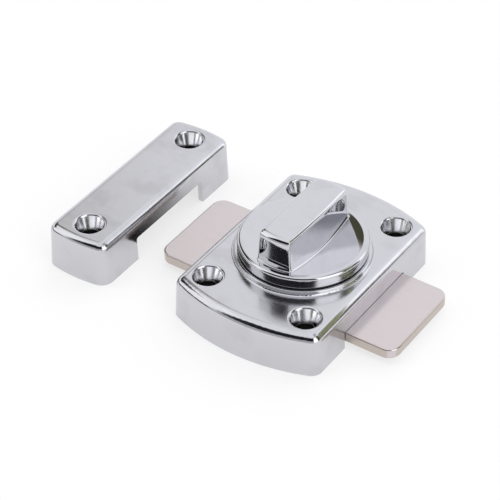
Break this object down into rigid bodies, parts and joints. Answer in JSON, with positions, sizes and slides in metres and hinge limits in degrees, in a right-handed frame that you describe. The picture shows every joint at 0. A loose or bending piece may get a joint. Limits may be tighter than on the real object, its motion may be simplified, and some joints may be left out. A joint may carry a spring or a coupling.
{
  "type": "toggle bolt latch",
  "caption": "Surface door bolt: a turn knob on a low curved housing throws a flat double-ended bolt sideways into a hollow screw-on keeper.",
  "frame": {"origin": "where the knob's axis meets the plane that the latch is screwed to, in the middle of the four housing screw holes", "axes": "+Z out of the door along the knob's axis; X along the bolt's travel with the keeper on the -X side; Y along the housing and the keeper"},
  "size_m": [0.1019, 0.0666, 0.0268],
  "materials": {
    "bright_chrome": "mirror chrome plating on a zinc casting",
    "satin_nickel": "satin nickel plating on steel",
    "zinc_plate": "bright zinc plating on sheet and screws",
    "bare_steel": "turned and milled steel, lightly oiled",
    "spring_steel": "oiled spring steel",
    "bush_brass": "turned brass",
    "nylon": "black nylon"
  },
  "bodies": {
    "mounted_parts": {"housing": "bright_chrome", "keeper": "bright_chrome", "back_plate": "zinc_plate", "back_plate_screws": "zinc_plate", "spindle_bush": "bush_brass", "wave_washer": "spring_steel", "knob_washer": "nylon", "detent_spring": "spring_steel"},
    "turning_parts": {"knob": "bright_chrome", "spindle": "bare_steel", "spindle_screw": "zinc_plate", "retaining_washer": "zinc_plate", "pinion": "bare_steel"},
    "sliding_parts": {"bolt_plate": "satin_nickel", "rack": "bare_steel", "rack_rivets": "bare_steel"},
    "clicking_ball": {"detent_ball": "bare_steel"}
  },
  "joints": [
    {"name": "knob_turn", "type": "hinge", "parent": "mounted_parts", "child": "turning_parts", "pos_m": [0, 0, 0.015], "axis": [0, 0, 1], "range_deg": [-90, 90]},
    {"name": "bolt_slide", "type": "slide", "parent": "mounted_parts", "child": "sliding_parts", "axis": [1, 0, 0], "range_m": [-0.00942, 0.00942]},
    {"name": "detent_press", "type": "slide", "parent": "mounted_parts", "child": "clicking_ball", "axis": [0, 0, -1], "range_m": [0, 0.00025], "stiffness_N_per_m": 300, "springref_m": 0.002, "deforming": ["detent_spring"]}
  ],
  "couplings": [
    {"joint": "bolt_slide", "follows": "knob_turn", "m_per_rad": 0.0059987}
  ]
}
